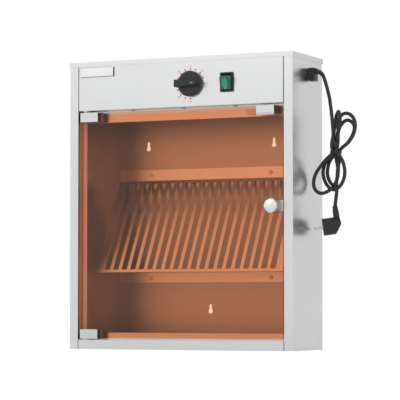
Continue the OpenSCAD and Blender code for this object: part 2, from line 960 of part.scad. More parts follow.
// Wires of the top compartment: supply to terminals, terminals to switch, switch to timer,
// timer to choke, choke to the left lampholder, terminals to the right one
module wires() {
    color("SaddleBrown") {
        wire([[234, 3, 578.5], [230, 8, 576], [221, 20, 568], [215, 28, 557], [214, 30, 547]]);
        wire([[202, 30, 547], [201, 28, 556], [190, 15, 570], [160, -10, 577], [135, -30, 572],
            [122, -40, 563]]);
        wire([[104, -40, 560], [101, -30, 567], [80, -18, 580], [50, -16, 582], [34, -26, 577],
            [30, -38, 572]]);
        wire([[18, -38, 566], [16, -26, 572], [0, 0, 579], [-14, 20, 574], [-20, 29, 565],
            [-20, 30, 559.5]]);
        wire([[-140, 30, 559.5], [-143, 30, 567], [-170, 28, 571], [-210, 26, 560], [-231, 24, 546],
            [-236, 24, 535], [-236, 24, 526], [-234, 19, 519], [-229, 14, 515]]);
        wire([[190, 31, 547], [191, 35, 553], [204, 42, 557], [225, 38, 552], [234, 28, 543],
            [236, 24, 534], [236, 24, 526], [234, 19, 519], [229, 14, 515]]);
    }
}

// Lead from the gland down to the hank
module cord_drop() {
    color(black)
        tube(drop_route, cord_r, cord_r, 12);
}

// Outer shape of the folded and tied hank
module cord_hank() {
    color(black)
        along_y(-5, 40)
            hull() {
                translate([312, 488])
                    circle(r = 12, $fn = 32);
                translate([347, 478])
                    circle(r = 17, $fn = 32);
                translate([284, 343.5])
                    circle(r = 21, $fn = 32);
                translate([322, 347.5])
                    circle(r = 17, $fn = 32);
            }
}

// Lead from the hank down to the plug
module cord_tail() {
    color(black)
        tube(tail_route, cord_r, cord_r, 12);
}

// Position of the plug: pins towards local -X, lead upwards
module as_plug() {
    translate(plug_at)
        rotate([0, 0, plug_turn])
            rotate([0, -plug_tilt, 0])
                children();
}

// Angled mains plug: round face, sloping back and an upright sleeve for the lead
module plug_body() {
    color(black)
        as_plug()
            difference() {
                union() {
                    intersection() {
                        rod_x([0, 0, 0], 18, 39);
                        rotate([90, 0, 0])
                            translate([0, 0, -20])
                                linear_extrude(height = 40)
                                    polygon([[0, -18], [0, 18], [36, 18], [38, 4], [37, 0], [25, -18]]);
                    }
                    rod_z([31, 0, 6], 6.5, 20);
                    translate([31, 0, 26])
                        cylinder(r1 = 6.5, r2 = 5.2, h = 15, $fn = 48);
                }
                for (sz = [-1, 1])
                    translate([0, 0, sz * 16.5])
                        slab([-1, -3, -2.5], [9, 3, 2.5]);
                for (sy = [-1, 1])
                    rod_x([-1, sy * 9.5, 0], 2.4, 7);
            }
}

// Contact pins and side earth contacts
module plug_pins() {
    color("Silver")
        as_plug() {
            for (sy = [-1, 1]) {
                rod_x([-16, sy * 9.5, 0], 2.4, 22);
                translate([-19, sy * 9.5, 0])
                    rotate([0, 90, 0])
                        cylinder(r1 = 1.6, r2 = 2.4, h = 3, $fn = 48);
            }
            for (sz = [-1, 1])
                translate([0, 0, sz * 14.6])
                    slab([0, -2.5, -0.6], [8.5, 2.5, 0.6]);
        }
}

left_side_panel();
right_side_panel();
back_panel();
bottom_panel();
lid();
lid_screws();
control_panel();
panel_screws();
lamp_canopy();
badge_plate();
tool_rack();
rack_screws();
uv_lamp_tube();
lamp_caps();
lampholder_left();
lampholder_right();
ballast();
ballast_screws();
starter();
starter_socket();
terminal_block();
timer_body();
timer_shaft();
timer_knob();
timer_index();
switch_bezel();
switch_rocker();
switch_lens();
door_glass();
hinge_top_plate();
hinge_top_body();
hinge_top_pin();
hinge_top_bush();
hinge_bottom_plate();
hinge_bottom_body();
hinge_bottom_pin();
hinge_bottom_bush();
hinge_pads();
hinge_screws();
catch_plate();
magnetic_catch();
catch_screws();
door_sensor();
knob_clip();
door_knob();
knob_screw();
gland_body();
gland_nut();
gland_screws();
strain_relief();
supply_lead();
wire_grommets();
wires();
cord_drop();
cord_hank();
cord_tail();
plug_body();
plug_pins();
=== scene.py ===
"""Looks of the wall-hung ultraviolet sterilising cabinet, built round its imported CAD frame.

Metres, +X right, +Y to the wall, +Z up, origin at the middle of the cabinet's footprint.
"""

import json
import math

import bmesh
import bpy
import numpy as np
from mathutils import Matrix, Vector


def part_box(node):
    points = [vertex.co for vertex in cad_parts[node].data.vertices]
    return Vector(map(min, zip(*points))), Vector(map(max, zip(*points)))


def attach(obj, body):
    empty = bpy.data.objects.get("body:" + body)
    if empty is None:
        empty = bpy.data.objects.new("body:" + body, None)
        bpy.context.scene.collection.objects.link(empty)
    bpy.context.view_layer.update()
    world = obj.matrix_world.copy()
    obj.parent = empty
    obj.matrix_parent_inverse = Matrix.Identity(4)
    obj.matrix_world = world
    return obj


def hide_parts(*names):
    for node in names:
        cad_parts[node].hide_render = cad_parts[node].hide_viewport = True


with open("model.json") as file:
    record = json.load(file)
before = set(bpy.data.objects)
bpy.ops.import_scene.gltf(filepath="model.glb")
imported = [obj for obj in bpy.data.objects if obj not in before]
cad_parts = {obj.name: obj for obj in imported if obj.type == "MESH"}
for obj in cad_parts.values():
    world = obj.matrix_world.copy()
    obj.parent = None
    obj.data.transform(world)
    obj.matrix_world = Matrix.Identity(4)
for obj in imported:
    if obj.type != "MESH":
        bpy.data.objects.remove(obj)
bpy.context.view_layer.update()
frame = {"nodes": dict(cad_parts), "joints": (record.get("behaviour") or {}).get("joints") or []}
NODES = frame["nodes"]
MM = 0.001


# ---------- camera ----------

CAMERA_AT = (1.9052, -3.9856, 0.1002)
CAMERA_AZIMUTH = math.radians(25.412)  # from the right of the cabinet's front
CAMERA_PITCH = math.radians(2.817)  # upwards
CAMERA_LENS_MM = 186.6


def make_camera():
    data = bpy.data.cameras.new("camera")
    data.lens = CAMERA_LENS_MM
    data.clip_end = 100.0
    camera = bpy.data.objects.new("camera", data)
    flat = math.cos(CAMERA_PITCH)
    look = Vector((-math.sin(CAMERA_AZIMUTH) * flat, math.cos(CAMERA_AZIMUTH) * flat, math.sin(CAMERA_PITCH)))
    camera.location = CAMERA_AT
    camera.rotation_mode = "QUATERNION"
    camera.rotation_quaternion = look.to_track_quat("-Z", "Y")
    bpy.context.scene.collection.objects.link(camera)
    bpy.context.scene.camera = camera


# ---------- material building blocks ----------


NOISE_LOW = 0.3  # nearly all the values of a noise texture lie between these
NOISE_HIGH = 0.7


def new_material(name, colour, roughness, metallic=0.0):
    """A Principled material with its node tree and shader."""
    made = bpy.data.materials.new(name)
    made.use_nodes = True
    made.diffuse_color = (*colour, 1.0)
    shader = made.node_tree.nodes["Principled BSDF"]
    shader.inputs["Base Color"].default_value = (*colour, 1.0)
    shader.inputs["Roughness"].default_value = roughness
    shader.inputs["Metallic"].default_value = metallic
    return made, made.node_tree, shader


def noise(tree, scale, detail=2.0):
    """Noise over object coordinates, stretched by a scale along each axis, in cycles per metre."""
    where = tree.nodes.new("ShaderNodeTexCoord")
    stretch = tree.nodes.new("ShaderNodeMapping")
    stretch.inputs["Scale"].default_value = scale
    texture = tree.nodes.new("ShaderNodeTexNoise")
    texture.inputs["Scale"].default_value = 1.0
    texture.inputs["Detail"].default_value = detail
    tree.links.new(where.outputs["Object"], stretch.inputs["Vector"])
    tree.links.new(stretch.outputs["Vector"], texture.inputs["Vector"])
    return texture.outputs["Fac"]


def ranged(tree, value, low, high):
    """Noise taken to the range from low to high."""
    node = tree.nodes.new("ShaderNodeMapRange")
    node.inputs["From Min"].default_value = NOISE_LOW
    node.inputs["From Max"].default_value = NOISE_HIGH
    node.inputs["To Min"].default_value = low
    node.inputs["To Max"].default_value = high
    tree.links.new(value, node.inputs["Value"])
    return node.outputs["Result"]


def shade(tree, shader, value, dark, light):
    """Base colour between two colours, by a value of noise."""
    ramp = tree.nodes.new("ShaderNodeValToRGB")
    ramp.color_ramp.elements[0].position = NOISE_LOW
    ramp.color_ramp.elements[0].color = (*dark, 1.0)
    ramp.color_ramp.elements[1].position = NOISE_HIGH
    ramp.color_ramp.elements[1].color = (*light, 1.0)
    tree.links.new(value, ramp.inputs["Fac"])
    tree.links.new(ramp.outputs["Color"], shader.inputs["Base Color"])


def bump(tree, shader, value, height, strength=1.0):
    node = tree.nodes.new("ShaderNodeBump")
    node.inputs["Strength"].default_value = strength
    node.inputs["Distance"].default_value = height
    tree.links.new(value, node.inputs["Height"])
    tree.links.new(node.outputs["Normal"], shader.inputs["Normal"])


def feed(tree, value, socket):
    """Sets a socket to a number, or links another socket to it."""
    if isinstance(value, (int, float)):
        socket.default_value = value
    else:
        tree.links.new(value, socket)


def maths(tree, operation, first, second=0.0):
    """A Math node on one or two values, each a socket or a number."""
    node = tree.nodes.new("ShaderNodeMath")
    node.operation = operation
    feed(tree, first, node.inputs[0])
    feed(tree, second, node.inputs[1])
    return node.outputs["Value"]


def scaled(colour, factor):
    return tuple(min(1.0, c * factor) for c in colour)


# ---------- materials ----------


def steel(name, colour, roughness, grain):
    """Rolled sheet: streaks along its grain, and faint clouds where hands and cloths have dulled it."""
    made, tree, shader = new_material(name, colour, roughness, 1.0)
    streaks = noise(tree, grain, 3.0)
    clouds = noise(tree, (7, 7, 7), 4.0)
    shade(tree, shader, clouds, scaled(colour, 0.975), scaled(colour, 1.02))
    tree.links.new(ranged(tree, streaks, roughness - 0.03, roughness + 0.03), shader.inputs["Roughness"])
    bump(tree, shader, streaks, 0.000001, 0.3)
    return made


def side_steel(name, colour, roughness, grain, painted_inner_shade, painted_stop_highlight):
    """Sheet of a side panel: painted shade darkens its inner faces, and a painted highlight makes the flange
    that the door closes on pale and soft, not metallic.
    """
    made = steel(name, colour, roughness, grain)
    tree = made.node_tree
    shader = tree.nodes["Principled BSDF"]
    where = tree.nodes.new("ShaderNodeTexCoord")
    place = tree.nodes.new("ShaderNodeSeparateXYZ")
    facing = tree.nodes.new("ShaderNodeSeparateXYZ")
    tree.links.new(where.outputs["Object"], place.inputs["Vector"])
    tree.links.new(where.outputs["Normal"], facing.inputs["Vector"])
    outwards = maths(tree, "MULTIPLY", place.outputs["X"], facing.outputs["X"])
    # Inner faces get painted shade: a dark colour in place of the shade inside the cabinet.
    inner_shade_mask = maths(tree, "LESS_THAN", outwards, -INNER_FROM)
    off_stop = maths(tree, "ABSOLUTE", maths(tree, "SUBTRACT", place.outputs["Y"], STOP_Y))
    near_stop = maths(tree, "LESS_THAN", off_stop, STOP_REACH)
    # The flange that the door closes on gets a painted highlight: pale, and not metallic so it catches
    # diffuse light.
    to_front = maths(tree, "LESS_THAN", facing.outputs["Y"], -0.5)
    stop_highlight_mask = maths(tree, "MULTIPLY", to_front, near_stop)
    below = shader.inputs["Base Color"].links[0].from_socket
    for factor, over in ((inner_shade_mask, painted_inner_shade), (stop_highlight_mask, painted_stop_highlight)):
        mixed = tree.nodes.new("ShaderNodeMix")
        mixed.data_type = "RGBA"
        mixed.inputs["B"].default_value = (*over, 1.0)
        tree.links.new(factor, mixed.inputs["Factor"])
        tree.links.new(below, mixed.inputs["A"])
        below = mixed.outputs["Result"]
    tree.links.new(below, shader.inputs["Base Color"])
    tree.links.new(maths(tree, "SUBTRACT", 1.0, stop_highlight_mask), shader.inputs["Metallic"])
    return made


def plastic(name, colour, roughness, grain=0.00004, scale=1400, coat=0.0, clouding=0.12):
    """Moulded plastic with a fine spark-eroded texture."""
    made, tree, shader = new_material(name, colour, roughness)
    fine = noise(tree, (scale, scale, scale), 2.0)
    clouds = noise(tree, (60, 60, 60), 2.0)
    shade(tree, shader, clouds, scaled(colour, 1 - clouding), scaled(colour, 1 + clouding))
    tree.links.new(ranged(tree, fine, roughness - 0.06, roughness + 0.06), shader.inputs["Roughness"])
    shader.inputs["Coat Weight"].default_value = coat
    bump(tree, shader, fine, grain)
    return made


AMBER_PASS = (0.99, 0.766, 0.622)  # what each face of the pane lets through
AMBER_EDGE = (0.80, 0.40, 0.17)


def amber_glass():
    """Tinted pane: clear faces with a mirror's share of Fresnel, and ground edges in the tint."""
    made = bpy.data.materials.new("amber_glass")
    made.use_nodes = True
    made.diffuse_color = (0.7, 0.36, 0.16, 0.5)
    tree = made.node_tree
    links = tree.links
    tree.nodes.remove(tree.nodes["Principled BSDF"])
    clear = tree.nodes.new("ShaderNodeBsdfTransparent")
    clear.inputs["Color"].default_value = (*AMBER_PASS, 1.0)
    gloss = tree.nodes.new("ShaderNodeBsdfGlossy")
    gloss.inputs["Roughness"].default_value = 0.02
    fresnel = tree.nodes.new("ShaderNodeFresnel")
    fresnel.inputs["IOR"].default_value = 1.45
    facing = tree.nodes.new("ShaderNodeNewGeometry")
    outside = maths(tree, "SUBTRACT", 1.0, facing.outputs["Backfacing"])
    pane = tree.nodes.new("ShaderNodeMixShader")
    links.new(maths(tree, "MULTIPLY", fresnel.outputs["Fac"], outside), pane.inputs["Fac"])
    links.new(clear.outputs["BSDF"], pane.inputs[1])
    links.new(gloss.outputs["BSDF"], pane.inputs[2])

    ground = tree.nodes.new("ShaderNodeBsdfPrincipled")
    ground.inputs["Base Color"].default_value = (*AMBER_EDGE, 1.0)
    ground.inputs["Roughness"].default_value = 0.35
    where = tree.nodes.new("ShaderNodeTexCoord")
    parts = tree.nodes.new("ShaderNodeSeparateXYZ")
    links.new(where.outputs["Normal"], parts.inputs["Vector"])
    edge = maths(tree, "LESS_THAN", maths(tree, "ABSOLUTE", parts.outputs["Y"]), 0.5)
    whole = tree.nodes.new("ShaderNodeMixShader")
    links.new(edge, whole.inputs["Fac"])
    links.new(pane.outputs["Shader"], whole.inputs[1])
    links.new(ground.outputs["BSDF"], whole.inputs[2])
    links.new(whole.outputs["Shader"], tree.nodes["Material Output"].inputs["Surface"])
    return made


def quartz():
    """Clear lamp tube, faintly milky."""
    made, tree, shader = new_material("quartz_glass", (0.9, 0.94, 0.98), 0.12)
    haze = noise(tree, (40, 40, 40), 2.0)
    tree.links.new(ranged(tree, haze, 0.08, 0.16), shader.inputs["Roughness"])
    shader.inputs["Alpha"].default_value = 0.4
    return made


STEEL = (0.735, 0.74, 0.745)
ALONG_X = (14, 900, 900)
ALONG_Z = (900, 900, 14)
INNER_FROM = 0.1  # faces this far from the middle that look towards it are inner faces
STOP_Y = -0.055  # depth of the flanges that the door closes on
STOP_REACH = 0.004

MATERIALS = {
    "sheet_wide": steel("stainless_wide", STEEL, 0.30, ALONG_X),
    # Side panels: painted shade on the inner faces, painted highlight on the flange the door closes on.
    "sheet_tall": side_steel("stainless_tall", STEEL, 0.30, ALONG_Z, painted_inner_shade=(0.43, 0.42, 0.43),
                             painted_stop_highlight=(0.93, 0.90, 0.84)),
    # Brighter than the other steel: painted light, lifting the rack flanges that lie in the slats' shadow.
    "sheet_rack_painted_light": steel("stainless_rack_brightened", (0.80, 0.79, 0.77), 0.30, ALONG_X),
    "sheet_back": steel("stainless_mill", (0.50, 0.485, 0.49), 0.36, ALONG_X),
    "satin": steel("satin_steel", (0.69, 0.69, 0.688), 0.34, ALONG_X),
    "plated": steel("plated_steel", (0.62, 0.63, 0.64), 0.28, (300, 300, 300)),
    "chrome": steel("polished_metal", (0.86, 0.865, 0.87), 0.17, (200, 200, 200)),
    # Near-black as painted shade: the hinge bodies behind the pane are darkened for the shadow they sit in.
    "hinge_body_shade": steel("cast_zinc", (0.16, 0.155, 0.15), 0.42, (500, 500, 500)),
    "grey_steel": steel("grey_steel", (0.35, 0.37, 0.40), 0.45, ALONG_X),
    "black": plastic("black_plastic", (0.014, 0.014, 0.0155), 0.42),
    "rubber": plastic("rubber", (0.017, 0.017, 0.0185), 0.55, 0.00006, 900),
    "cord": plastic("cord", (0.016, 0.0165, 0.018), 0.42, 0.00003, 700),
    "white": plastic("white_plastic", (0.80, 0.80, 0.78), 0.40, clouding=0.03),
    "badge": plastic("badge_white", (0.97, 0.97, 0.965), 0.25, 0.00001, clouding=0.01),
    "badge_core": plastic("badge_core", (0.10, 0.10, 0.105), 0.5),
    "index": plastic("index_grey", (0.34, 0.34, 0.35), 0.4, 0.00001),
    "mark": plastic("mark_white", (0.85, 0.85, 0.85), 0.35, 0.00001),
    "green": plastic("green_plastic", (0.012, 0.095, 0.055), 0.18, 0.00001, 400, 0.5),
    "lens": plastic("green_lens", (0.006, 0.35, 0.17), 0.14, 0.00001, 400, 0.4),
    "print": plastic("dial_print", (0.86, 0.015, 0.10), 0.5, 0.00001),
    "wire": plastic("wire_insulation", (0.30, 0.16, 0.09), 0.4, 0.00001),
    "amber": amber_glass(),
    "quartz": quartz(),
}

WEARS = {
    "sheet_wide": ["bottom_panel", "lid", "control_panel", "lamp_canopy"],
    "sheet_rack_painted_light": ["tool_rack"],
    "sheet_back": ["back_panel"],
    "sheet_tall": ["left_side_panel", "right_side_panel"],
    "satin": ["hinge_top_plate", "hinge_bottom_plate", "catch_plate", "knob_clip"],
    "plated": ["lid_screws", "panel_screws", "rack_screws", "lamp_caps", "ballast_screws", "timer_body",
               "timer_shaft", "hinge_top_pin", "hinge_bottom_pin", "hinge_screws", "catch_screws",
               "knob_screw", "gland_screws", "plug_pins"],
    "chrome": ["door_knob"],
    "hinge_body_shade": ["hinge_top_body", "hinge_bottom_body"],
    "grey_steel": ["ballast"],
    "black": ["timer_knob", "switch_bezel", "magnetic_catch", "gland_body", "gland_nut", "plug_body"],
    "rubber": ["hinge_pads", "wire_grommets", "strain_relief"],
    "cord": ["supply_lead", "cord_drop", "cord_hank", "cord_tail"],
    "white": ["lampholder_left", "lampholder_right", "starter", "starter_socket", "terminal_block",
              "hinge_top_bush", "hinge_bottom_bush", "door_sensor"],
    "badge_core": ["badge_plate"],
    "index": ["timer_index"],
    "green": ["switch_rocker"],
    "lens": ["switch_lens"],
    "wire": ["wires"],
    "amber": ["door_glass"],
    "quartz": ["uv_lamp_tube"],
}


def dress_nodes():
    for material, names in WEARS.items():
        for name in names:
            slots = NODES[name].data.materials
            slots.clear()
            slots.append(MATERIALS[material])


# ---------- mesh building blocks ----------


SMOOTH_BELOW = math.radians(40)


def add_piece(name, mesh, material, body):
    """A mesh object in the row frame, shaded smooth up to an angle, riding on a body."""
    mesh.materials.append(MATERIALS[material])
    piece = bpy.data.objects.new(name, mesh)
    bpy.context.scene.collection.objects.link(piece)
    for face in mesh.polygons:
        face.use_smooth = True
    mesh.set_sharp_from_angle(angle=SMOOTH_BELOW)
    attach(piece, body)
    return piece


def mesh_of(name, verts, faces):
    mesh = bpy.data.meshes.new(name)
    mesh.from_pydata([tuple(v) for v in verts], [], faces)
    build = bmesh.new()
    build.from_mesh(mesh)
    bmesh.ops.remove_doubles(build, verts=build.verts, dist=1e-7)
    bmesh.ops.recalc_face_normals(build, faces=build.faces)
    build.to_mesh(mesh)
    build.free()
    return mesh


def frames_along(line):
    """Two unit vectors square to a line and to each other at each of its points, without twist."""
    tangents = np.gradient(line, axis=0)
    tangents /= np.linalg.norm(tangents, axis=1)[:, None]
    side = np.cross(tangents[0], (0.3, 0.9, 0.1))
    sides = []
    for t in tangents:
        side = side - (side @ t) * t
        side = side / np.linalg.norm(side)
        sides.append(side)
    sides = np.array(sides)
    return sides, np.cross(tangents, sides)


def tube_mesh(name, line, radii, count=24):
    """Closed tube round a line, with a radius at each of its points."""
    a, b = frames_along(line)
    turn = np.arange(count) * 2 * math.pi / count
    verts = [p + r * (math.cos(t) * u + math.sin(t) * v)
             for p, r, u, v in zip(line, radii, a, b) for t in turn]
    rings = len(line)
    faces = [(i * count + k, i * count + (k + 1) % count,
              (i + 1) * count + (k + 1) % count, (i + 1) * count + k)
             for i in range(rings - 1) for k in range(count)]
    faces += [tuple(range(count))[::-1], tuple((rings - 1) * count + k for k in range(count))]
    return mesh_of(name, verts, faces)


def lathe(name, profile, centre, count=64):
    """A profile of (radius, distance) turned about an axis from centre towards -Y."""
    turn = np.arange(count) * 2 * math.pi / count
    verts, rings = [], []
    for radius, out in profile:
        rings.append(len(verts))
        spots = turn if radius > 0 else turn[:1]
        verts += [(centre[0] + radius * math.cos(t), centre[1] - out, centre[2] + radius * math.sin(t))
                  for t in spots]
    faces = []
    for (r0, _), (r1, _), i, j in zip(profile, profile[1:], rings, rings[1:]):
        for k in range(count):
            n = (k + 1) % count
            ring = [i + k, i + n] if r0 > 0 else [i]
            ring += [j + n, j + k] if r1 > 0 else [j]
            faces.append(tuple(ring))
    return mesh_of(name, verts, faces)


def block(name, low, high, bevel, segments=2, place=Matrix.Identity(4)):
    """A box between two corners with rounded edges."""
    build = bmesh.new()
    size = Vector(high) - Vector(low)
    middle = (Vector(high) + Vector(low)) / 2
    bmesh.ops.create_cube(build, size=1.0)
    bmesh.ops.scale(build, vec=size, verts=build.verts)
    bmesh.ops.bevel(build, geom=build.edges[:], offset=bevel, segments=segments, profile=0.5, affect="EDGES")
    bmesh.ops.transform(build, matrix=place @ Matrix.Translation(middle), verts=build.verts)
    mesh = bpy.data.meshes.new(name)
    build.to_mesh(mesh)
    build.free()
    return mesh


# ---------- mains lead ----------

CORD_D = 0.0075
TIE_Z = 0.411
TIE_REACH = 0.009  # distance from the tie over which it gathers the strands
TIE_PULL = 0.055
HOLD = 0.05  # how strongly the strands keep to the route as set
SMOOTHING = 0.25
SETTLE_ROUNDS = 220
APART = 3.5  # diameters along the lead beyond which two points are on different strands
CLEARANCE = 1.03  # diameters between the middles of two strands that touch
HELD_AT_GLAND = 14  # points of the lead that stay where they are set
HELD_AT_PLUG = 15

# Route of the lead, in millimetres
BOOT = [(278, 2, 579.4), (283, 2, 578.9), (287.8, 2.1, 576.9), (291.8, 2.4, 573.4), (294.6, 3, 569)]
DROP = [(297.3, 3.8, 561), (300.3, 4.9, 550), (303.6, 6.3, 536), (306.3, 7.8, 522), (307.6, 9.2, 508),
        (308.6, 10.5, 498)]
HANK = [
    # down to middle
    (310.5, 9, 485.5), (313.5, 7, 462), (316, 6, 439), (321.5, 7, 423), (327.5, 8.5, 411),
    (334, 8, 394.7),
    # middle loop
    (340.5, 5, 373.2), (340.5, 1, 355.4), (331.5, 1, 339.1), (315.5, 4, 331.7), (302, 9, 339.1),
    (292, 15, 351.7), (286, 20, 369), (290, 22.5, 390.5), (300.5, 22, 409.4),
    # narrow loop
    (304.5, 25, 430.5), (306.5, 30, 453), (307.5, 35.5, 473), (311, 33, 488.5), (322, 18, 496.5),
    (331, 2, 485.5), (333, -1, 469.5), (326.5, 3, 449), (315, 9, 429.5), (302.5, 14, 411.5),
    # left loop
    (294.5, 14, 398.4), (288.5, 13, 388.4), (276, 10, 371.1), (269.5, 8, 350.6), (272.5, 8, 333.8),
    (284, 11, 325.4), (298, 15.5, 329.6), (310.5, 19, 340.1), (317, 21, 355.9), (318.5, 22, 375.8),
    (318, 22.5, 394.7), (318, 22, 411.5),
    # outer loop
    (319.5, 21, 440.5), (320, 21, 465.5), (321.5, 21.5, 479.5), (327, 23, 489.5), (336.5, 26, 493),
    (351, 24, 484.5), (358.5, 20, 467.5), (356, 16, 447.5), (345.5, 13, 429.5), (334.5, 13, 417),
    (326.5, 14, 406.8),
    # inner bottom
    (324, 13, 391.6), (324.5, 9, 373.7), (324, 6, 356.9), (314.5, 9, 341.2), (302.5, 16, 350.6),
    (294, 24, 368.5), (295.5, 28, 387.9), (301, 29, 408.9),
    # inner loop
    (306, 30, 426), (311, 31, 442), (316, 31, 457), (323.5, 30, 469.5), (335, 30, 479), (346, 30, 475),
    (353.5, 28, 464.5), (351.5, 26, 449.5), (341.5, 24, 432), (332, 22, 419.5), (326, 22, 408.9),
    # back down
    (319.5, 24, 393.7), (316.5, 26, 375.8), (314.5, 27, 356.9), (313, 27, 342.8),
]
TAIL = [(314.2, 27, 335), (312.9, 28.3, 326), (311, 29.5, 315), (309.2, 30.6, 305), (308.2, 31.3, 297.4)]



def curve_through(points, step):
    """Centripetal Catmull-Rom curve through points, sampled evenly."""
    p = np.array(points, float)
    p = np.vstack([2 * p[0] - p[1], p, 2 * p[-1] - p[-2]])
    fine = []
    for i in range(1, len(p) - 2):
        q = p[i - 1:i + 3]
        knots = np.concatenate([[0], np.cumsum(np.sqrt(np.linalg.norm(np.diff(q, axis=0), axis=1)))])
        for t in np.linspace(knots[1], knots[2], 24, endpoint=False):
            a = [(knots[k + 1] - t) / (knots[k + 1] - knots[k]) * q[k]
                 + (t - knots[k]) / (knots[k + 1] - knots[k]) * q[k + 1] for k in range(3)]
            b = [(knots[k + 2] - t) / (knots[k + 2] - knots[k]) * a[k]
                 + (t - knots[k]) / (knots[k + 2] - knots[k]) * a[k + 1] for k in range(2)]
            fine.append((knots[2] - t) / (knots[2] - knots[1]) * b[0]
                        + (t - knots[1]) / (knots[2] - knots[1]) * b[1])
    fine.append(p[-2])
    return spaced_evenly(np.array(fine), step)


def spaced_evenly(line, step):
    run = np.concatenate([[0], np.cumsum(np.linalg.norm(np.diff(line, axis=0), axis=1))])
    at = np.linspace(0, run[-1], max(2, round(run[-1] / step) + 1))
    return np.stack([np.interp(at, run, line[:, k]) for k in range(3)], axis=1)


def settle(line, diameter):
    """Pushes crossing strands apart until they lie on each other, and draws them together at the tie."""
    start = line.copy()
    step = np.linalg.norm(line[1] - line[0])
    apart = int(APART * diameter / step)
    index = np.arange(len(line))
    other = np.abs(index[:, None] - index[None]) > apart
    held = (index < HELD_AT_GLAND) | (index >= len(line) - HELD_AT_PLUG)
    reach = diameter * CLEARANCE
    for _ in range(SETTLE_ROUNDS):
        gap = line[:, None] - line[None]
        dist = np.linalg.norm(gap, axis=2)
        lap = np.where(other & (dist < reach), reach - dist, 0.0)
        move = (gap / np.maximum(dist, 1e-6)[..., None] * lap[..., None]).sum(1)
        count = np.maximum((lap > 0).sum(1), 1)[:, None]
        move = 0.5 * move / count + HOLD * (start - line)
        move[1:-1] += SMOOTHING * (0.5 * (line[:-2] + line[2:]) - line[1:-1])
        near = np.exp(-((line[:, 2] - TIE_Z) / TIE_REACH) ** 2)
        middle = (near[:, None] * line[:, :2]).sum(0) / near.sum()
        move[:, :2] += TIE_PULL * near[:, None] * (middle - line[:, :2])
        move[held] = 0.0
        line = line + move
    return line


def make_boot():
    """Moulded sleeve that bends the lead down at the gland, with shallow grooves round it."""
    line = curve_through(BOOT, 0.5) * MM
    along = np.linspace(0, 1, len(line))
    thick_end, taper, groove_count, groove_depth = 5.5, 1.5, 6, 0.55 * MM
    radii = (thick_end - taper * along) * MM
    grooves = (np.sin(along * groove_count * 2 * math.pi) > 0.35) & (along > 0.1) & (along < 0.92)
    radii = radii - np.where(grooves, groove_depth, 0.0)
    boot = add_piece("strain_relief_boot", tube_mesh("strain_relief_boot", line, radii, 32), "rubber", "root")
    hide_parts("strain_relief")
    return boot


def make_tie(line):
    """Flat strap round the seven strands, with its lock."""
    over = [(a + (b - a) * (TIE_Z - a[2]) / (b[2] - a[2])) for a, b in zip(line, line[1:])
            if (a[2] - TIE_Z) * (b[2] - TIE_Z) < 0]
    count = 72
    turn = np.linspace(0, 2 * math.pi, count, endpoint=False)
    middle = np.mean([p[:2] for p in over], axis=0)
    reach = np.array([max((p[:2] - middle) @ (math.cos(t), math.sin(t)) for p in over) + CORD_D / 2
                      for t in turn])
    slope = (np.roll(reach, -1) - np.roll(reach, 1)) / (2 * (turn[1] - turn[0]))
    ring = [(middle[0] + r * math.cos(t) - s * math.sin(t),
             middle[1] + r * math.sin(t) + s * math.cos(t), t)
            for r, s, t in zip(reach, slope, turn)]
    half, thick, skin, ease = 2.6 * MM, 1.3 * MM, 0.1 * MM, 0.4 * MM
    profile = [(skin, -half), (thick, -half + ease), (thick, half - ease), (skin, half)]
    verts = [(x + out * math.cos(t), y + out * math.sin(t), TIE_Z + up)
             for x, y, t in ring for out, up in profile]
    n = len(profile)
    faces = [(i * n + k, i * n + (k + 1) % n,
              (i + 1) % count * n + (k + 1) % n, (i + 1) % count * n + k)
             for i in range(count) for k in range(n)]
    strap = add_piece("cord_tie", mesh_of("cord_tie", verts, faces), "black", "root")
    front = min(ring, key=lambda p: p[1] - 0.3 * p[0])
    x, y = front[0], front[1]
    side = 3.4 * MM
    lock = block("cord_tie_lock", (x - side, y - 4.2 * MM, TIE_Z - side),
                 (x + side, y + 0.4 * MM, TIE_Z + side), 0.6 * MM)
    lock = add_piece("cord_tie_lock", lock, "black", "root")
    return [strap, lock]


def make_cord():
    """The lead from the gland through the tied hank to the plug, as one curve."""
    line = settle(curve_through(BOOT + DROP + HANK + TAIL, 2.0) * MM, CORD_D)
    line = spaced_evenly(line, 2.5 * MM)
    data = bpy.data.curves.new("mains_lead", "CURVE")
    data.dimensions = "3D"
    data.bevel_depth = CORD_D / 2
    data.bevel_resolution = 6
    data.use_fill_caps = True
    spline = data.splines.new("POLY")
    spline.points.add(len(line) - 1)
    spline.points.foreach_set("co", np.hstack([line, np.ones((len(line), 1))]).ravel())
    spline.use_smooth = True
    data.materials.append(MATERIALS["cord"])
    lead = bpy.data.objects.new("mains_lead", data)
    bpy.context.scene.collection.objects.link(lead)
    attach(lead, "root")
    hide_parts("cord_drop", "cord_hank", "cord_tail")
    pieces = [make_boot(), *make_tie(line), NODES["plug_body"], NODES["plug_pins"]]


# ---------- dial, switch and badge ----------


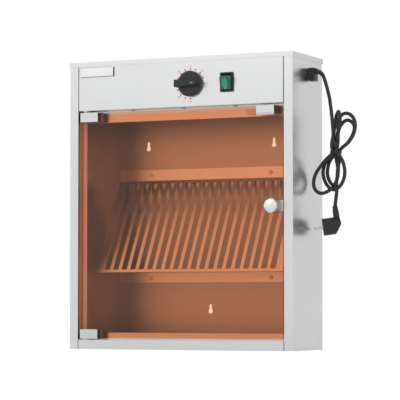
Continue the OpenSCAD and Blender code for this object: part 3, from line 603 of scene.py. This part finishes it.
def make_dial():
    """Dots and numerals printed round the timer, from 0 on the right to 120 at the bottom, anticlockwise."""
    low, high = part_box("timer_knob")
    x, z = (low.x + high.x) / 2, (low.z + high.z) / 2
    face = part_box("control_panel")[0].y
    dot_ring, dot_r, print_t = 31.5 * MM, 1.9 * MM, 0.06 * MM
    dot_count, dot_step = 13, math.radians(22.5)
    for i in range(dot_count):
        turn = dot_step * i
        spot = (x + dot_ring * math.cos(turn), face, z + dot_ring * math.sin(turn))
        dot = lathe(f"dial_dot_{i:02d}", [(dot_r, 0), (dot_r, print_t), (0, print_t)], spot, 24)
        add_piece(dot.name, dot, "print", "root")
    number_count, number_step, minutes_step = 7, math.radians(45), 20
    for i in range(number_count):
        turn = number_step * i
        minutes = minutes_step * i
        data = bpy.data.curves.new(f"dial_number_{minutes}", "FONT")
        data.body = str(minutes)
        data.size = 5 * MM
        data.extrude = print_t / 2
        data.align_x, data.align_y = "CENTER", "CENTER"
        data.materials.append(MATERIALS["print"])
        number = bpy.data.objects.new(data.name, data)
        reach = (37.5 if i % 4 else 38.5) * MM
        number.location = (x + reach * math.cos(turn), face - print_t / 2, z + reach * math.sin(turn))
        number.rotation_euler = (math.radians(90), 0, 0)
        bpy.context.scene.collection.objects.link(number)
        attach(number, "root")


def rocker_place():
    """Matrix from the rocker's own frame, with its face towards -Y, to the row frame at rest."""
    joint = next(j for j in frame["joints"] if j["name"] == "switch_rock")
    tilt = math.radians(sum(joint["range_deg"]) / 2)
    return Matrix.Translation(joint["pos_m"]) @ Matrix.Rotation(tilt, 4, "X")


def make_switch_marks():
    """On and off marks moulded in white on the rocker, above and below its window."""
    place = rocker_place()
    face, up = -15.0 * MM, 10.3 * MM
    bar = block("switch_mark_on", (-1.0 * MM, face - 0.1 * MM, up - 1.2 * MM),
                (0.0, face + 0.1 * MM, up + 1.2 * MM), 0.05 * MM, 1, place)
    add_piece("switch_mark_on", bar, "mark", "rocker")
    turn = np.linspace(0, 2 * math.pi, 33)[:-1]
    verts, n = [], len(turn)
    across = -0.5 * MM
    for radius in (0.7 * MM, 1.3 * MM):
        for depth in (0.0, -0.1 * MM):
            verts += [place @ Vector((across + radius * math.cos(t), face + depth, radius * math.sin(t) - up))
                      for t in turn]
    faces = []
    for a, b in ((0, 1), (1, 3), (3, 2), (2, 0)):
        faces += [(a * n + k, a * n + (k + 1) % n, b * n + (k + 1) % n, b * n + k) for k in range(n)]
    add_piece("switch_mark_off", mesh_of("switch_mark_off", verts, faces), "mark", "rocker")


def make_badge_face():
    """White enamelled face let into the front of the badge plate."""
    low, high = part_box("badge_plate")
    rim = 0.5 * MM
    face = block("badge_face", (low.x + rim, low.y - 0.15 * MM, low.z + rim),
                 (high.x - rim, low.y + 0.5 * MM, high.z - rim), 0.14 * MM)
    face = add_piece("badge_face", face, "badge", "root")


# ---------- stage ----------


WORLD_LEFT = 0.99  # light from the left and from the right of the studio
WORLD_RIGHT = 0.71
FLOOR_GLOW = 0.32  # light that the floor gives to the cabinet
FLOOR_SEEN = 0.72  # with its own diffuse light, just white


def camera_choice(tree, seen, otherwise):
    """One value for the backdrop as it is seen, and another for the light it gives to the cabinet."""
    path = tree.nodes.new("ShaderNodeLightPath")
    choice = tree.nodes.new("ShaderNodeMapRange")
    feed(tree, otherwise, choice.inputs["To Min"])
    feed(tree, seen, choice.inputs["To Max"])
    tree.links.new(path.outputs["Is Camera Ray"], choice.inputs["Value"])
    return choice.outputs["Result"]


def make_floor():
    build = bmesh.new()
    bmesh.ops.create_grid(build, x_segments=1, y_segments=1, size=30.0)
    mesh = bpy.data.meshes.new("floor")
    build.to_mesh(mesh)
    build.free()
    made, tree, shader = new_material("floor_white", (0.5, 0.5, 0.5), 0.8)
    shader.inputs["Emission Color"].default_value = (1.0, 1.0, 1.0, 1.0)
    tree.links.new(camera_choice(tree, FLOOR_SEEN, FLOOR_GLOW), shader.inputs["Emission Strength"])
    mesh.materials.append(made)
    floor = bpy.data.objects.new("floor", mesh)
    floor.location.z = -0.0005
    bpy.context.scene.collection.objects.link(floor)


def make_world():
    """White studio: the backdrop is plain white, and what the steel mirrors falls off to the right."""
    world = bpy.data.worlds.new("studio")
    world.use_nodes = True
    bpy.context.scene.world = world
    tree = world.node_tree
    links = tree.links
    background = tree.nodes["Background"]
    background.inputs["Color"].default_value = (1.0, 1.0, 1.0, 1.0)
    where = tree.nodes.new("ShaderNodeTexCoord")
    parts = tree.nodes.new("ShaderNodeSeparateXYZ")
    links.new(where.outputs["Generated"], parts.inputs["Vector"])
    ramp = tree.nodes.new("ShaderNodeMapRange")
    ramp.inputs["From Min"].default_value = -1.0
    ramp.inputs["From Max"].default_value = 1.0
    ramp.inputs["To Min"].default_value = WORLD_LEFT
    ramp.inputs["To Max"].default_value = WORLD_RIGHT
    links.new(parts.outputs["X"], ramp.inputs["Value"])
    links.new(camera_choice(tree, 1.0, ramp.outputs["Result"]), background.inputs["Strength"])


def soft_light(name, at, towards, size, power):
    data = bpy.data.lights.new(name, "AREA")
    data.shape = "RECTANGLE"
    data.size, data.size_y = size
    data.energy = power
    light = bpy.data.objects.new(name, data)
    light.location = at
    light.rotation_mode = "QUATERNION"
    light.rotation_quaternion = (Vector(towards) - Vector(at)).to_track_quat("-Z", "Y")
    bpy.context.scene.collection.objects.link(light)


def make_lights():
    soft_light("key", at=(-1.1, -3.0, 1.9), towards=(0.0, 0.0, 0.3), size=(1.6, 1.6), power=6)
    soft_light("fill", at=(2.6, -1.6, 1.2), towards=(0.2, 0.0, 0.3), size=(1.2, 1.6), power=1.5)


make_camera()
dress_nodes()
make_cord()
make_dial()
make_switch_marks()
make_badge_face()
make_floor()
make_world()
make_lights()
bpy.context.scene.view_settings.view_transform = "Standard"
